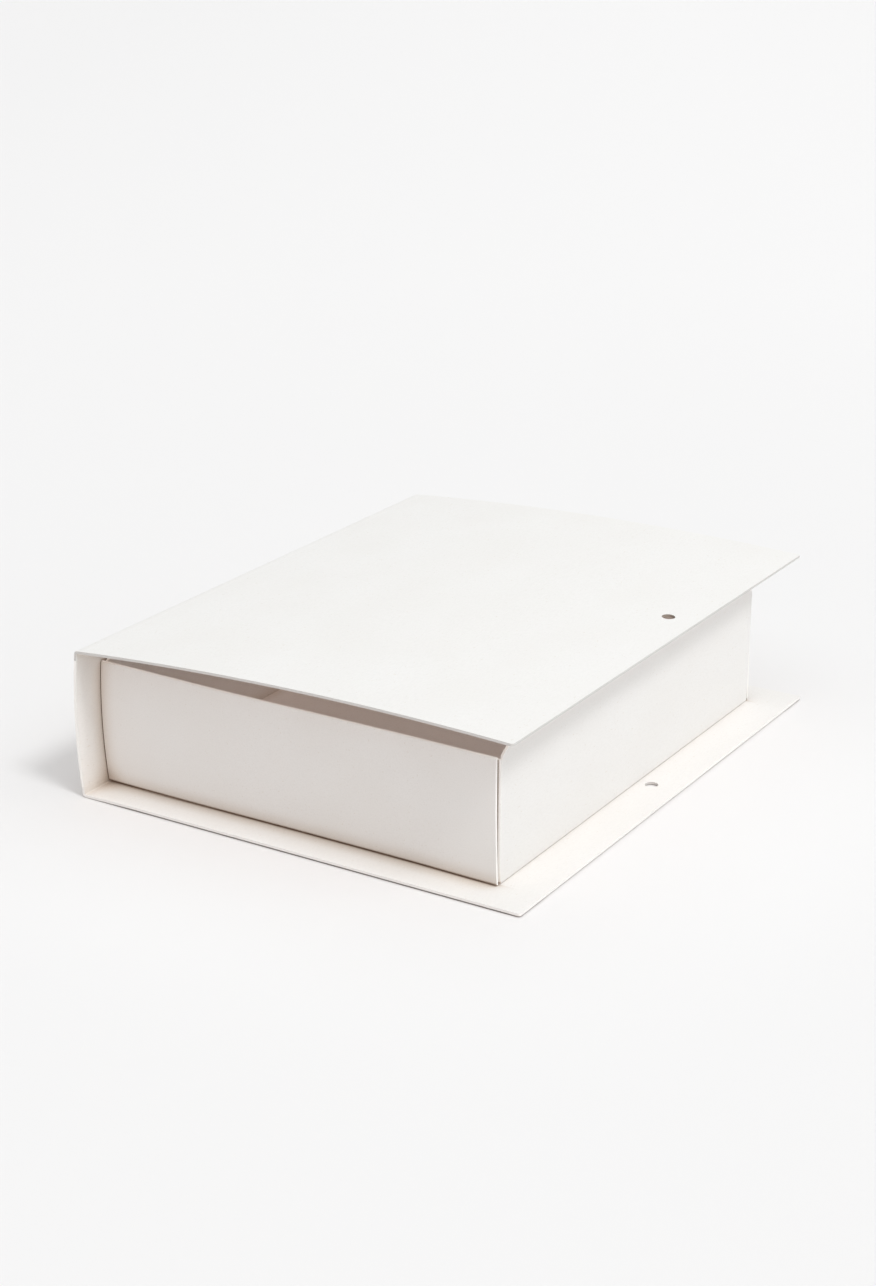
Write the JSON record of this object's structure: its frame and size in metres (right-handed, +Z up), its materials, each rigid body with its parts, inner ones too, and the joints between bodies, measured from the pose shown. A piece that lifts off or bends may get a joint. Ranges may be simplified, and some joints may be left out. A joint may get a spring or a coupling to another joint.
{
  "type": "clamshell book box",
  "caption": "Book-shaped clamshell box of creased card: a hinged cover with tie holes round a folded tray for A4 papers.",
  "frame": {"origin": "centre of the back board's underside, on the table", "axes": "+X from the spine to the fore-edge, +Y from the head to the tail, +Z up through the closed box"},
  "size_m": [0.2781, 0.345, 0.0931],
  "materials": {
    "cover_card": "matte",
    "tray_card": "matte",
    "adhesive": "matte"
  },
  "bodies": {
    "tray_and_back_board": {"back_board": "cover_card", "back_crease": "cover_card", "tray_floor": "tray_card", "tray_head_wall": "tray_card", "tray_tail_wall": "tray_card", "tray_fore_edge_wall": "tray_card", "tray_spine_wall": "tray_card", "head_fore_edge_tab": "tray_card", "tail_fore_edge_tab": "tray_card", "head_spine_tab": "tray_card", "tail_spine_tab": "tray_card", "tray_glue": "adhesive", "tab_glue": "adhesive"},
    "spine": {"spine_panel": "cover_card", "front_crease": "cover_card"},
    "front_cover": {"front_board": "cover_card"}
  },
  "joints": [
    {"name": "back_crease_fold", "type": "hinge", "parent": "tray_and_back_board", "child": "spine", "pos_m": [-0.13675, 0, 0.00075], "axis": [0, 1, 0], "range_deg": [-86.5, 0]},
    {"name": "front_crease_fold", "type": "hinge", "parent": "spine", "child": "front_cover", "pos_m": [-0.13795, 0, 0.08425], "axis": [0, 1, 0], "range_deg": [-92, 1.3], "stiffness_Nm_per_rad": 0.15, "springref_deg": -56.39}
  ]
}
